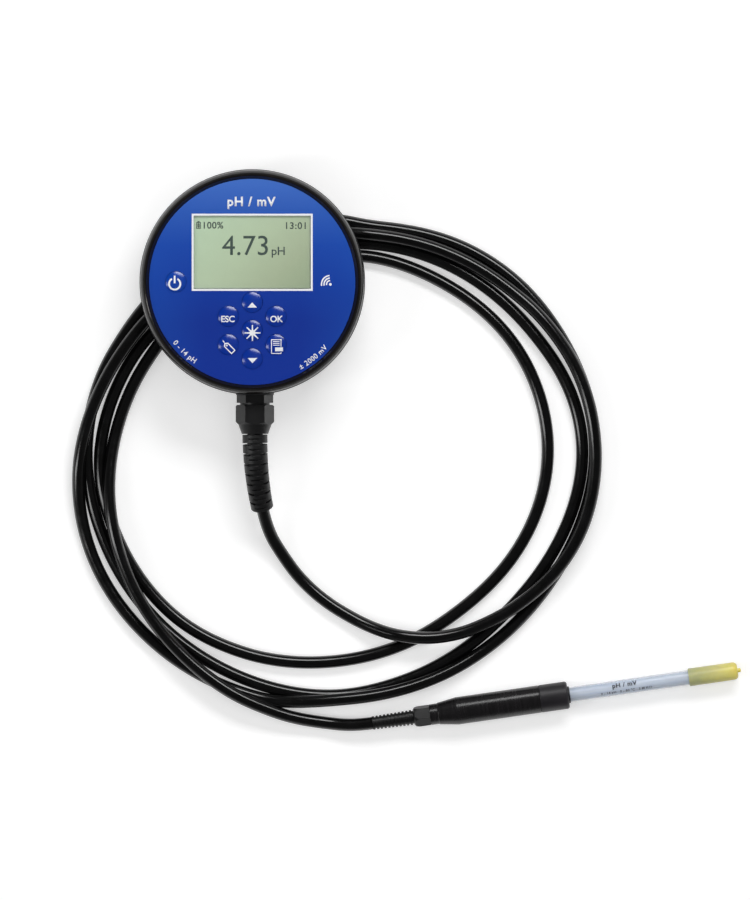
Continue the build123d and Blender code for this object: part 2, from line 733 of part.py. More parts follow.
def cable_coil():
    """Outer shape of the coiled lead: the turns on the table and the layer that lies on them."""
    round_trip = range(0, 360, outline_step)
    outside = Spline(*[polar(max(strand_radii(angle)) + cord_d / 2, angle)
                       for angle in round_trip], periodic=True)
    inside = Spline(*[polar(min(strand_radii(angle)) - cord_d / 2, angle)
                      for angle in round_trip], periodic=True)
    ring = extrude(make_face(outside) - make_face(inside), cord_d)
    ring = fillet(ring.faces().sort_by(Axis.Z)[-1].edges(), coil_edge_r)
    beside = angles_between(gap_from, gap_to)
    strand_side = [polar(turn_radius(angle) + cord_d / 2, angle) for angle in beside]
    bundle_side = [polar(min(strand_radii(angle, True)) - cord_d / 2, angle) for angle in beside]
    ring -= extrude(band(strand_side, bundle_side), cord_d)
    inner_edge = []
    outer_edge = []
    for angle in angles_between(upper_layer_from, upper_layer_to):
        radii = strand_radii(angle, True)
        middle = (min(radii) + max(radii)) / 2
        inner_edge.append(polar(middle - upper_layer_w / 2, angle))
        outer_edge.append(polar(middle + upper_layer_w / 2, angle))
    layer = extrude(band(inner_edge, outer_edge), upper_layer_top - cord_d)
    long_edges = layer.faces().sort_by(Axis.Z)[-1].edges().sort_by(SortBy.LENGTH)[-2:]
    return COIL * (ring + Pos(0, 0, cord_d) * fillet(long_edges, coil_edge_r))


def cord_tube(points):
    """Tube along straight runs, with an arc at each point as large as its two runs allow."""
    points = [Vector(*point) for point in points]
    radii = []
    for before, point, after in zip(points, points[1:], points[2:]):
        shorter = min((point - before).length, (after - point).length)
        turn = math.radians((point - before).get_angle(after - point))
        radii.append(arc_share * shorter / math.tan(turn / 2))
    path = FilletPolyline(*points, radius=radii)
    section = Plane(origin=points[0], z_dir=points[1] - points[0]) * Circle(cord_d / 2)
    cord = sweep(section, path=path)
    print("radii", [round(radius, 1) for radius in radii], "length", round(path.length, 1),
          "volume share", round(cord.volume / (math.pi * cord_d ** 2 / 4 * path.length), 4))
    return cord


def on_coil(point):
    """Point of a route about the middle of the coil, in the frame of the whole part."""
    return (COIL * Pos(*point)).position


def cable_lead():
    """Free lead from the meter's strain relief to the coil."""
    mouth = METER * ALONG_GLAND * relief_plane(relief_l).location
    first = (mouth * Pos(0, 0, lead_first_run)).position
    return cord_tube([mouth.position, first] + [on_coil(point) for point in LEAD_ROUTE])


def cable_tail():
    """Free lead from the coil to the probe's strain relief."""
    last = (PROBE * Pos(-tail_last_run, 0, -tail_last_drop)).position
    return cord_tube([on_coil(point) for point in TAIL_ROUTE] + [last, PROBE.position])


def probe_strain_relief():
    """Ribbed rubber sleeve moulded on the lead, with a stem through the nut."""
    pitch = probe_relief_l / probe_relief_ribs
    outline = [(0, 0)]
    for index in range(probe_relief_ribs):
        share = index / (probe_relief_ribs - 1)
        rib_r = probe_relief_rear_r + (probe_relief_front_r - probe_relief_rear_r) * share
        start = index * pitch
        rib_end = start + probe_relief_rib_share * pitch
        outline += [(rib_r, start), (rib_r, rib_end)]
        outline += [(rib_r - probe_relief_groove, rib_end),
                    (rib_r - probe_relief_groove, start + pitch)]
    outline += [(probe_stem_r, probe_relief_l), (probe_stem_r, probe_relief_l + probe_stem_l),
                (0, probe_relief_l + probe_stem_l)]
    return turned(*outline)


def probe_gland_nut():
    """Hexagonal nut with a rounded nose at the rear of the probe."""
    start = probe_relief_l
    corner_r = probe_nut_corner / 2
    envelope = turned(
        (0, start), (probe_relief_front_r, start),
        (probe_relief_front_r + probe_nut_nose_w, start + probe_nut_nose_round),
        (corner_r, start + probe_nut_nose_l), (corner_r, probe_nut_end - probe_nut_edge),
        (corner_r - probe_nut_edge, probe_nut_end), (0, probe_nut_end))
    nut = hexagon(probe_nut_corner, start, probe_nut_end, probe_nut_turn) & envelope
    nut -= disc(probe_stem_r + fit_gap, start, probe_nut_end)
    return nut - disc(probe_spigot_r + fit_gap, probe_spigot_start - fit_gap, probe_nut_end)


def probe_handle():
    """Round handle with a conical rear, a neck and a spigot for the nut."""
    handle = turned(
        (0, probe_spigot_start), (probe_spigot_r, probe_spigot_start),
        (probe_spigot_r, probe_nut_end), (neck_r, probe_nut_end), (neck_r, neck_end),
        (neck_r + neck_step, neck_end + neck_step), (handle_r, handle_cone_end),
        (handle_r, handle_end - joint_groove), (handle_r - joint_groove, handle_end),
        (0, handle_end))
    handle -= disc(probe_stem_r + fit_gap, probe_spigot_start, handle_cavity_start)
    return handle - disc(handle_bore_r, handle_cavity_start, handle_end)


def probe_board():
    """Small amplifier board inside the handle."""
    end = collar_spigot_start - probe_board_clear
    return block(probe_board_thick, 2 * (handle_bore_r - probe_board_edge), end - probe_board_l, end)


def probe_collar():
    """Front collar that holds the electrode and plugs into the handle."""
    groove = handle_end - o_ring_back
    collar = turned(
        (0, collar_spigot_start), (collar_spigot_r, collar_spigot_start),
        (collar_spigot_r, groove - o_ring_w),
        (collar_spigot_r - o_ring_depth, groove - o_ring_w),
        (collar_spigot_r - o_ring_depth, groove), (collar_spigot_r, groove),
        (collar_spigot_r, handle_end), (handle_r - joint_groove, handle_end),
        (handle_r, handle_end + joint_groove), (handle_r, collar_end), (0, collar_end))
    front = collar.faces().sort_by(Axis.Z)[-1]
    collar = fillet(front.edges(), collar_edge_r)
    return collar - disc(tube_r + fit_gap, collar_spigot_start, collar_end)


def probe_o_ring():
    """Rubber ring between the collar and the handle."""
    groove = handle_end - o_ring_back
    return tube(handle_bore_r - seal_clear, collar_spigot_r - o_ring_depth + seal_clear,
                groove - o_ring_w + seal_clear, groove - seal_clear)


def tube_seal():
    """Thin dark ring where the electrode comes out of the collar."""
    return tube(tube_r + tube_seal_w, tube_r + fit_gap, collar_end, collar_end + tube_seal_l)


def electrode_tube():
    """Clear electrode tube with a closed tip that the platinum pin passes through."""
    body = disc(tube_r, tube_start, tube_end)
    tip = body.faces().sort_by(Axis.Z)[-1]
    body = fillet(tip.edges(), tube_tip_round)
    body -= disc(tube_r - tube_wall, tube_start, tube_end - tube_tip_wall)
    return body - disc(platinum_r + screw_clear, tube_start, tube_end)


def electrode_plug():
    """Potting at the rear of the electrode tube, round the inner tube and the wire."""
    plug = disc(tube_r - tube_wall - seal_clear, tube_start, tube_start + tube_plug_l)
    plug -= disc(inner_tube_r + seal_clear, tube_start, tube_start + tube_plug_l)
    return plug - disc(reference_wire_r + seal_clear, tube_start, tube_start + tube_plug_l,
                       (0, reference_wire_y))


def inner_tube():
    """Glass inner tube that carries the platinum pin, sealed over its whole length."""
    return disc(inner_tube_r, tube_start, inner_tube_end)


def reference_wire():
    """Silver wire of the reference system beside the inner tube."""
    return disc(reference_wire_r, tube_start, tube_end - reference_wire_short,
                (0, reference_wire_y))


def platinum_pin():
    """Platinum pin from the inner tube out through the tip."""
    return disc(platinum_r, inner_tube_end, platinum_end)


def storage_cap():
    """Soft cap over the tip, with a rounded end and a small nub."""
    cap = turned((0, cap_start), (cap_bore_r + cap_wall_rear, cap_start),
                 (cap_bore_r + cap_wall_front, cap_shoulder), (0, cap_shoulder))
    cap = fillet(cap.faces().sort_by(Axis.Z)[-1].edges(), cap_round_r)
    cap += disc(cap_nub_r, cap_shoulder - cap_floor, cap_end)
    cap = fillet(cap.faces().sort_by(Axis.Z)[-1].edges(), cap_nub_round)
    cap -= disc(cap_bore_r, cap_start, tube_end + cap_bore_gap)
    return cap - disc(platinum_r + cap_floor_gap, tube_end, cap_bore_end)


meter_nodes = {
    "rear_housing": rear_housing(),
    "front_bezel": front_bezel(),
    "housing_seal": housing_seal(),
    "housing_screws": Compound(children=housing_screws()),
    "face_plate": face_plate(),
    "display_window": display_window(),
    "display_border": display_border(),
    "display_panel": display_panel(),
    "key_switches": Compound(children=key_switches()),
    "circuit_board": circuit_board(),
    "board_screws": Compound(children=board_screws()),
    "battery_front": battery(-1),
    "battery_rear": battery(1),
    "battery_contacts": Compound(children=battery_contacts()),
    "battery_cover": battery_cover(),
    "battery_cover_seal": battery_cover_seal(),
    "battery_cover_screws": Compound(children=battery_cover_screws()),
    "gland_body": gland_body(),
    "gland_locknut": gland_locknut(),
    "gland_seal": gland_seal(),
    "gland_nut": gland_nut(),
    "cable_entry": cable_entry(),
    "strain_relief": strain_relief(),
}
for name, place in KEY_PLACES.items():
    meter_nodes["key_" + name] = key(place)

probe_nodes = {
    "probe_strain_relief": probe_strain_relief(),
    "probe_gland_nut": probe_gland_nut(),
    "probe_handle": probe_handle(),
    "probe_board": probe_board(),
    "probe_collar": probe_collar(),
    "probe_o_ring": probe_o_ring(),
    "tube_seal": tube_seal(),
    "electrode_tube": electrode_tube(),
    "electrode_plug": electrode_plug(),
    "inner_tube": inner_tube(),
    "reference_wire": reference_wire(),
    "platinum_pin": platinum_pin(),
    "storage_cap": storage_cap(),
}

nodes = {name: METER * shape for name, shape in meter_nodes.items()}
nodes.update({name: PROBE * ALONG_PROBE * shape for name, shape in probe_nodes.items()})
nodes["cable_lead"] = cable_lead()
nodes["cable_coil"] = cable_coil()
nodes["cable_tail"] = cable_tail()

for name, shape in nodes.items():
    export_step(shape, f"parts/{name}.step")
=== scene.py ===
"""Handheld redox meter lying on its coiled lead, with its probe, as seen from straight above.

Adds the lead on its smooth line, the prints, the liquid crystal figures, the filling of the
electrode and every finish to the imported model, and lights it on a white table.
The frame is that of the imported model: metres, +Z up. Names that end in MM or mm are millimetres.
"""
import math

import bmesh
import bpy
from mathutils import Matrix, Vector


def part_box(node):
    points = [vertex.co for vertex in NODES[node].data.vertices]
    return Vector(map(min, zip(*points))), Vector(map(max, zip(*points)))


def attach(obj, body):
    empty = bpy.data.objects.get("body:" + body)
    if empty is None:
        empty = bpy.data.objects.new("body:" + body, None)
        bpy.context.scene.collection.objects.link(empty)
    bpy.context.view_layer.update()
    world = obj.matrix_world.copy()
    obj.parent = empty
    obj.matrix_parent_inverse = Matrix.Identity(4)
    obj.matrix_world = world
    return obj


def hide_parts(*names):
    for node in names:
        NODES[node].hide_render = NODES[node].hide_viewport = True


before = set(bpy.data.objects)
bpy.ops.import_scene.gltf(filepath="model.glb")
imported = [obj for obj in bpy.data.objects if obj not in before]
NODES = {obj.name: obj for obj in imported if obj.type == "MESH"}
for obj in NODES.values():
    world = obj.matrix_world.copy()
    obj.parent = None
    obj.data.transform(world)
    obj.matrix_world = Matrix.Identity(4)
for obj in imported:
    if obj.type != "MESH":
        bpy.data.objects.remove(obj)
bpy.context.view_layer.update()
ROOT = "meter_and_probe"
MM = 0.001


def middle_of(node):
    """Middle of a node's box."""
    low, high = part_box(node)
    return (low + high) / 2


# Places read from the frame
FACE = middle_of("face_plate")
FACE_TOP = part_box("face_plate")[1].z
FACE_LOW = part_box("face_plate")[0].z
DISPLAY = middle_of("display_window")

# The probe lies along a line on the table, from the rear end of its strain relief
PROBE_TILT = math.radians(8.2)
PROBE_REAR = Vector((-31.954, -128.666, 6.5)) * MM
PROBE_ALONG = Vector((math.cos(PROBE_TILT), math.sin(PROBE_TILT), 0))
PROBE_ACROSS = Vector((-math.sin(PROBE_TILT), math.cos(PROBE_TILT), 0))
TUBE_R_MM = 3.6
TUBE_BORE_R_MM = 3.0
FILLING_CLEAR_MM = 0.04   # between the filling and the bore, so that no faces coincide
FILLING_FROM_MM = 78.0    # along the probe
FILLING_TO_MM = 169.2
FILLING_SIDES = 48
CAP_FROM_MM = 150.4       # along the probe
CAP_TO_MM = 175.2
TURNING_SCALE = 4000 / math.tau    # of the wave texture, for tool lines 0.49 mm apart

# Print
INK_MM = 0.03             # height of printed ink, drawn thicker than it is so that it shows
INK_LIFT_MM = 0.015       # lower side of the ink above what carries it
KEY_R_MM = 4.8
KEY_DOME_MM = 0.9
KEY_BALL_MM = (KEY_R_MM ** 2 + KEY_DOME_MM ** 2) / (2 * KEY_DOME_MM)
TITLE_MM = 4.3            # height of a capital, here and below
RANGE_MM = 2.4
RANGE_ROUND_MM = 47.0     # radius of the line that the ranges stand on, round the face
KEY_WORD_MM = 2.9
TUBE_TITLE_MM = 2.2
TUBE_NOTES_MM = 1.2
# Print that follows a curve is cut into cells of these sizes
KEY_CELL_MM = 0.9
RANGE_CELL_MM = 1.0
TUBE_CELL_MM = 0.5

# Liquid crystal film, just above the display panel
CRYSTAL_LIFT_MM = 0.05
CRYSTAL_THICK_MM = 0.2
CRYSTAL_TOP = FACE_LOW + (CRYSTAL_LIFT_MM + CRYSTAL_THICK_MM) * MM
CRYSTAL_INSET_MM = 0.02
CRYSTAL_EDGE_MM = 0.05
CRYSTAL_DOT_MM = 0.42

# Lead
LEAD_D_MM = 5.95
COIL_MIDDLE = Vector((-48.654, -5.766, 0)) * MM
LEAD_MOUTH_MM = (-83.828, -27.164, 14.486)
LEAD_FIRST_MM = (-81.543, -37.729, 8.209)
TAIL_LAST_MM = (-40.862, -129.950, 5.6)
# From the middle of the coil
LEAD_ROUTE_MM = [
    (-26.1, -43.3, 4.2), (-17.7, -54.9, 3.0), (-6.1, -65.5, 3.0), (7.8, -74.0, 3.2),
    (19.8, -79.4, 6.2), (31.1, -82.3, 9.4), (45.2, -83.1, 9.4), (59.4, -80.5, 9.2),
    (72.3, -75.0, 9.1), (84.3, -68.3, 9.1),
]
TAIL_ROUTE_MM = [(-29.4, -117.8, 6.5), (-18.5, -120.9, 4.6), (-5.5, -122.9, 3.2)]
# Stations of the coil: angle in degrees, radius of the lead's middle and its height
TURN_1 = [
    (-40, 108.4, 9.1), (-15, 119.7, 9.1), (15, 121.7, 9.1), (37.5, 117.2, 8.3), (45, 114.9, 6.8),
    (75, 109.1, 7.5), (82.5, 108.0, 7.9), (90, 108.4, 4.7), (97.5, 108.8, 3.0), (120, 108.8, 3.0),
    (135, 110.1, 3.2), (142.5, 111.7, 7.5), (150, 113.1, 8.0), (165, 117.1, 9.0),
    (180, 121.5, 8.0), (195, 123.4, 3.0), (210, 122.9, 3.0), (247.5, 117.5, 3.0),
    (255, 116.5, 4.9), (262.5, 113.7, 8.0), (270, 111.7, 9.0), (285, 111.2, 8.3),
    (300, 111.9, 5.6), (307.5, 112.3, 3.4), (330, 114.9, 3.0),
]
TURN_2 = [
    (0, 121.5, 3.0), (15, 121.7, 3.0), (30, 120.6, 3.0), (45, 119.7, 3.0), (60, 117.2, 3.0),
    (82.5, 111.9, 3.0), (90, 114.1, 3.0), (120, 114.9, 3.0), (135, 116.1, 3.0), (150, 116.7, 3.0),
    (160, 118.1, 3.0), (180, 118.0, 3.0), (195, 116.1, 3.0), (240, 111.4, 3.0),
    (270, 110.0, 3.0), (285, 107.8, 3.0), (315, 106.2, 3.0), (330, 108.4, 3.0),
]
TURN_3 = [
    (0, 115.5, 3.0), (15, 115.1, 3.0), (35, 110.2, 3.0), (82.5, 103.9, 3.0), (90, 102.6, 3.0),
    (135, 104.0, 3.0), (150, 107.6, 3.0), (180, 111.9, 3.0), (195, 110.1, 3.0),
    (225, 105.3, 3.0), (240, 101.0, 3.0), (270, 93.7, 3.0), (300, 90.5, 3.0), (315, 91.0, 3.0),
]
TURN_4 = [
    (0, 99.1, 3.0), (30, 100.3, 3.0), (60, 98.0, 3.0), (82.5, 97.9, 3.0), (90, 96.7, 3.0),
    (120, 96.8, 3.0), (135, 98.0, 3.0), (142, 100.2, 3.0), (150, 101.0, 3.0),
    (172.5, 105.0, 3.3), (187.5, 108.3, 8.3), (195, 109.7, 9.1), (232.5, 116.6, 8.9),
    (255, 121.4, 8.5), (262.5, 121.7, 4.6),
]
STATIONS = [(angle + 360 * turn_index, radius, height)
            for turn_index, turn in enumerate([TURN_1, TURN_2, TURN_3, TURN_4])
            for angle, radius, height in turn]
COIL_FROM = -30.0
COIL_STEP = 7.5
COIL_POINTS = 182
LYING_MM = 3.0            # height of the middle of the lead where it lies on the table

# The picture takes in 424 mm of the table from top to bottom, from far above it
PICTURE_HEIGHT = 0.424
PICTURE_MIDDLE = Vector((-0.0308, -0.0001, 0))
CAMERA_HEIGHT = 12.0
SENSOR_MM = 36.0
TABLE_HALF = 6.0
TABLE_LIFT = 0.42         # how far the table is lifted to white above what the lamps give it
# Lamps: name, place, size, watts, whether polished surfaces show it
LAMPS = [
    ("key_softbox", (0.35, 1.25, 1.45), (1.3, 0.5), 20.0, True),
    ("left_softbox", (-1.6, -0.3, 1.3), (0.35, 1.3), 9.0, True),
    ("fill_softbox", (0.2, -0.2, 2.2), (2.0, 2.0), 19.0, False),
]


def hex_colour(code):
    """Linear colour from an sRGB hex value."""
    parts = [int(code[i:i + 2], 16) / 255 for i in (1, 3, 5)]
    return [c / 12.92 if c <= 0.04045 else ((c + 0.055) / 1.055) ** 2.4 for c in parts] + [1.0]


def add(tree, kind, inputs=None, stops=None, **settings):
    """Adds a node with its settings, its inputs set or linked, and its colour stops.

    A kind without the word Node is a shader node. The first two stops take the place of the two
    that a new ramp has.
    """
    node = tree.nodes.new(kind if "Node" in kind else "ShaderNode" + kind)
    for name, value in settings.items():
        setattr(node, name, value)
    for name, value in (inputs or {}).items():
        if isinstance(value, bpy.types.NodeSocket):
            tree.links.new(value, node.inputs[name])
        else:
            node.inputs[name].default_value = value
    for index, (position, code) in enumerate(stops or []):
        elements = node.color_ramp.elements
        element = elements[index] if index < 2 else elements.new(position)
        element.position = position
        element.color = hex_colour(code)
    return node


def object_place(tree):
    """Coordinates of the piece's own object."""
    return add(tree, "TexCoord").outputs["Object"]


def along_probe(tree):
    """Coordinates along and across the probe, in metres from its rear end."""
    return add(tree, "Mapping", {
        "Vector": object_place(tree), "Location": PROBE_REAR, "Rotation": (0, 0, PROBE_TILT)},
        vector_type="TEXTURE").outputs[0]


def stretched(tree, place, scale):
    """The coordinates, scaled by one factor for each axis."""
    return add(tree, "Mapping", {"Vector": place, "Scale": scale}).outputs[0]


def noise(tree, place, scale, detail):
    """Value of a noise at a place."""
    return add(tree, "TexNoise", {"Vector": place, "Scale": scale, "Detail": detail}).outputs["Fac"]


def ramp(tree, value, stops):
    """Colour of a value on a row of stops."""
    return add(tree, "ValToRGB", {"Fac": value}, stops=stops).outputs["Color"]


def spread(tree, value, low, high, from_low=0.0, from_high=1.0):
    """The value, taken from one range to another."""
    return add(tree, "MapRange", {
        "Value": value, "From Min": from_low, "From Max": from_high,
        "To Min": low, "To Max": high}).outputs[0]


def math_of(tree, operation, first, second=0.5):
    """Result of a calculation with one or two values."""
    return add(tree, "Math", {0: first, 1: second}, operation=operation).outputs[0]


def bumped(tree, height, depth_mm, strength, edge_mm=0.0):
    """Normal with a relief of a given depth, over edges that look slightly round."""
    inputs = {"Height": height, "Distance": depth_mm * MM, "Strength": strength}
    if edge_mm:
        inputs["Normal"] = add(tree, "Bevel", {"Radius": edge_mm * MM}, samples=4).outputs[0]
    return add(tree, "Bump", inputs).outputs[0]


def principled(tree, colour, roughness, ior, more=None):
    """Surface shader with its main values and any others by name."""
    return add(tree, "BsdfPrincipled", {
        "Base Color": colour, "Roughness": roughness, "IOR": ior, **(more or {})})


def material(name, surface):
    """Makes a material from a function that builds its surface shader."""
    made = bpy.data.materials.new(name)
    made.use_nodes = True
    made.node_tree.nodes.clear()
    shader = surface(made.node_tree)
    add(made.node_tree, "OutputMaterial", {"Surface": shader.outputs[0]})
    return made


def moulded(name, tone, sheen_tone, roughness, grit_mm, depth_mm, edge_mm=0.15):
    """Moulded plastic or rubber: an even dark colour, a fine tool grain, edges slightly round."""
    def surface(tree):
        place = object_place(tree)
        cloud = noise(tree, place, 60.0, 3.0)
        grain = noise(tree, place, 1 / (grit_mm * MM), 2.0)
        return principled(
            tree, ramp(tree, cloud, [(0.35, tone), (0.7, sheen_tone)]),
            spread(tree, cloud, roughness - 0.05, roughness + 0.06, 0.3, 0.7), 1.5,
            {"Normal": bumped(tree, grain, depth_mm, 0.6, edge_mm)})
    return material(name, surface)


def polished_rim(tree):
    """Polished black ABS: deep and glossy, with a faint waviness and hairline scuffs."""
    place = object_place(tree)
    wave = noise(tree, place, 90.0, 1.0)
    scuff = noise(tree, place, 700.0, 4.0)
    return principled(
        tree, ramp(tree, wave, [(0.3, "#0b0908"), (0.7, "#130f0d")]),
        spread(tree, scuff, 0.13, 0.22, 0.4, 0.75), 1.53,
        {"Normal": bumped(tree, wave, 0.02, 0.4)})


def blue_film(tree):
    """Polycarbonate film, printed blue from behind, glossy, with painted light: lighter towards its
    upper edge and in lighter patches towards its left and right sides.
    """
    place = object_place(tree)
    centred = add(tree, "Mapping", {"Vector": place, "Location": -FACE}).outputs[0]
    split = add(tree, "SeparateXYZ", {"Vector": centred})
    height = spread(tree, split.outputs["Y"], 0.0, 1.0, -48 * MM, 48 * MM)
    # painted light: the blue turns lighter towards the top, as if lit from there
    blue_with_painted_light = ramp(tree, height, [
        (0.0, "#00309a"), (1.0, "#3f70cc"), (0.3, "#002f96"), (0.5, "#0038a2"),
        (0.68, "#0c45ae"), (0.85, "#2a5cbc")])
    # painted highlight: lighter blue in noisy patches towards the left and right sides
    side = math_of(tree, "ABSOLUTE", split.outputs["X"])
    edge = spread(tree, side, 0.0, 0.45, 22 * MM, 50 * MM)
    side_highlight_share = math_of(tree, "MULTIPLY", edge, noise(tree, place, 25.0, 1.0))
    colour = add(tree, "Mix", {
        "Factor": side_highlight_share, "A": blue_with_painted_light, "B": hex_colour("#1560c8")}, data_type="RGBA")
    grain = noise(tree, place, 1 / (0.4 * MM), 2.0)
    return principled(tree, colour.outputs["Result"], 0.19, 1.58,
                      {"Normal": bumped(tree, grain, 0.004, 0.5)})


def clear_pane(tree):
    """Clear acrylic pane: nearly nothing but a faint green cast and a little haze."""
    haze = noise(tree, object_place(tree), 120.0, 2.0)
    return principled(tree, hex_colour("#e6efe2"), 0.08, 1.49,
                      {"Alpha": spread(tree, haze, 0.04, 0.1)})


def crystal_film(tree):
    """Reflective liquid crystal glass: grey-green with its dot grid, and painted light that makes
    it lighter to the upper left and darker to the lower right.
    """
    centred = add(tree, "Mapping", {
        "Vector": object_place(tree), "Location": -DISPLAY}).outputs[0]
    split = add(tree, "SeparateXYZ", {"Vector": centred})
    slant = math_of(tree, "SUBTRACT", split.outputs["X"], split.outputs["Y"])
    # painted light: lighter towards the upper left, darker towards the lower right
    tone = ramp(tree, spread(tree, slant, 0.0, 1.0, -40 * MM, 42 * MM), [
        (0.0, "#c3dcbc"), (1.0, "#9dae8c"), (0.45, "#bccfae"), (0.75, "#aebd9c")])
    dots = add(tree, "TexBrick", {
        "Vector": centred, "Scale": 1.0, "Brick Width": CRYSTAL_DOT_MM * MM,
        "Row Height": CRYSTAL_DOT_MM * MM, "Mortar Size": 0.03 * MM,
        "Color1": hex_colour("#ffffff"), "Color2": hex_colour("#fbfbfb"),
        "Mortar": hex_colour("#f0f2ec")}, offset=0.0)
    colour = add(tree, "Mix", {"Factor": 1.0, "A": tone, "B": dots.outputs["Color"]},
                 data_type="RGBA", blend_type="MULTIPLY")
    return principled(tree, colour.outputs["Result"], 0.2, 1.5)


def printed(name, tone, thin_tone, roughness):
    """Screen-printed ink: matt, its cover a little uneven."""
    def surface(tree):
        cover = noise(tree, object_place(tree), 1 / (0.5 * MM), 3.0)
        return principled(tree, ramp(tree, cover, [(0.3, thin_tone), (0.5, tone)]),
                          roughness, 1.5)
    return material(name, surface)


def lead_jacket(tree):
    """Extruded black PVC: very dark and glossy, with faint marks of the die and of handling."""
    place = object_place(tree)
    long_wave = noise(tree, place, 130.0, 2.0)
    marks = noise(tree, place, 220.0, 2.0)
    return principled(
        tree, ramp(tree, long_wave, [(0.35, "#060606"), (0.7, "#0b0b0c")]),
        spread(tree, marks, 0.15, 0.22, 0.35, 0.7), 1.53,
        {"Normal": bumped(tree, long_wave, 0.03, 0.25)})


def turned_handle(tree):
    """Turned black acetal: fine tool lines round the handle, drawn coarser so that they show."""
    place = along_probe(tree)
    lines = add(tree, "TexWave", {
        "Vector": place, "Scale": TURNING_SCALE, "Distortion": 0.6, "Detail": 1.0},
        wave_type="BANDS", bands_direction="X").outputs["Fac"]
    cloud = noise(tree, stretched(tree, place, (900.0, 60.0, 60.0)), 1.0, 3.0)
    return principled(
        tree, ramp(tree, cloud, [(0.3, "#111011"), (0.7, "#1a181a")]),
        spread(tree, cloud, 0.2, 0.32), 1.48,
        {"Normal": bumped(tree, lines, 0.003, 0.4, edge_mm=0.2)})


def electrode_glass(tree):
    """Clear tube of the electrode: glossy, with a faint blue cast."""
    streak = noise(tree, stretched(tree, along_probe(tree), (12.0, 500.0, 500.0)), 1.0, 1.0)
    return principled(tree, hex_colour("#dde7f5"), 0.07, 1.5, {
        "Alpha": spread(tree, streak, 0.25, 0.45), "Coat Weight": 0.6, "Coat Roughness": 0.04})


def electrode_filling(tree):
    """Cloudy gel: pale blue-grey, with long streaks."""
    streak = noise(tree, stretched(tree, along_probe(tree), (14.0, 900.0, 900.0)), 1.0, 2.0)
    colour = ramp(tree, streak, [(0.3, "#d0dcee"), (0.72, "#ffffff"), (0.5, "#e8f0fa")])
    return principled(tree, colour, 0.35, 1.38, {
        "Subsurface Weight": 0.3, "Subsurface Radius": (1.2 * MM, 1.4 * MM, 1.7 * MM),
        "Subsurface Scale": 1.0})


def soft_cap(tree):
    """Soft translucent vinyl: grey-green where it covers the tube, yellow at its closed end."""
    place = along_probe(tree)
    split = add(tree, "SeparateXYZ", {"Vector": place})
    share = spread(tree, split.outputs["X"], 0.0, 1.0, CAP_FROM_MM * MM, CAP_TO_MM * MM)
    tone = ramp(tree, share, [
        (0.0, "#b3b994"), (1.0, "#ecd468"), (0.3, "#c6c690"), (0.6, "#e0d68c"),
        (0.85, "#f0de7c")])
    cloud = noise(tree, place, 260.0, 2.0)
    veil = add(tree, "Mix", {"Factor": cloud, "A": tone, "B": hex_colour("#f3ecb8")},
               data_type="RGBA", blend_type="SOFT_LIGHT")
    return principled(tree, veil.outputs["Result"], 0.32, 1.5, {
        "Alpha": spread(tree, share, 0.72, 0.95), "Subsurface Weight": 0.35,
        "Subsurface Radius": (1.5 * MM, 1.2 * MM, 0.5 * MM), "Subsurface Scale": 1.0,
        "Normal": bumped(tree, cloud, 0.05, 0.4)})


def drawn_metal(name, tone, bright_tone, roughness):
    """Plain metal: an even tone with a fine random drawing of the surface."""
    def surface(tree):
        place = stretched(tree, object_place(tree), (300.0, 3000.0, 3000.0))
        lines = noise(tree, place, 1.0, 2.0)
        return principled(
            tree, ramp(tree, lines, [(0.3, tone), (0.7, bright_tone)]),
            spread(tree, lines, roughness - 0.06, roughness + 0.08), 1.5, {"Metallic": 1.0})
    return material(name, surface)


def circuit_laminate(tree):
    """Glass-fibre board under green lacquer, with lighter copper tracks below it."""
    tracks = add(tree, "TexBrick", {
        "Vector": object_place(tree), "Scale": 1.0, "Brick Width": 6 * MM,
        "Row Height": 1.2 * MM, "Mortar Size": 0.15 * MM, "Color1": hex_colour("#0f4a22"),
        "Color2": hex_colour("#125026"), "Mortar": hex_colour("#2f7d42")})
    return principled(tree, tracks.outputs["Color"], 0.35, 1.5)


def white_table(tree):
    """Matt white table top, lifted to plain white for what looks at it directly."""
    fibre = noise(tree, object_place(tree), 40.0, 2.0)
    tone = ramp(tree, fibre, [(0.3, "#dedede"), (0.7, "#e1e1e1")])
    matt = add(tree, "BsdfDiffuse", {"Color": tone})
    rays = add(tree, "LightPath").outputs
    seen = math_of(tree, "MAXIMUM", rays["Is Camera Ray"], rays["Is Glossy Ray"])
    looked_at = math_of(tree, "MAXIMUM", seen, rays["Is Transmission Ray"])
    glow = add(tree, "Emission", {"Strength": math_of(tree, "MULTIPLY", looked_at, TABLE_LIFT)})
    return add(tree, "AddShader", {0: matt.outputs[0], 1: glow.outputs[0]})


# Housing and rim: the housing soaks up light, and the rim mirrors the lamps in thin lines
SATIN_ABS = moulded("satin_black_abs", "#18181a", "#1f1f21", 0.46, 0.35, 0.02, 0.25)
POLISHED_ABS = material("polished_black_abs", polished_rim)
# Face and display: a deep blue sheet with painted light, lighter at the top, round the one pale
# field, itself painted lighter to its upper left
FILM = material("blue_printed_polycarbonate_film", blue_film)
PANE = material("clear_acrylic_pane", clear_pane)
CRYSTAL = material("reflective_liquid_crystal", crystal_film)
# Inks: crisp and matt against the gloss of what carries them
WHITE_INK = printed("white_screen_ink", "#f7f8fb", "#e9edf5", 0.45)
BLACK_INK = printed("black_screen_ink", "#15171c", "#2b2e35", 0.5)
CRYSTAL_INK = printed("dark_liquid_crystal", "#1f3733", "#2c453f", 0.3)
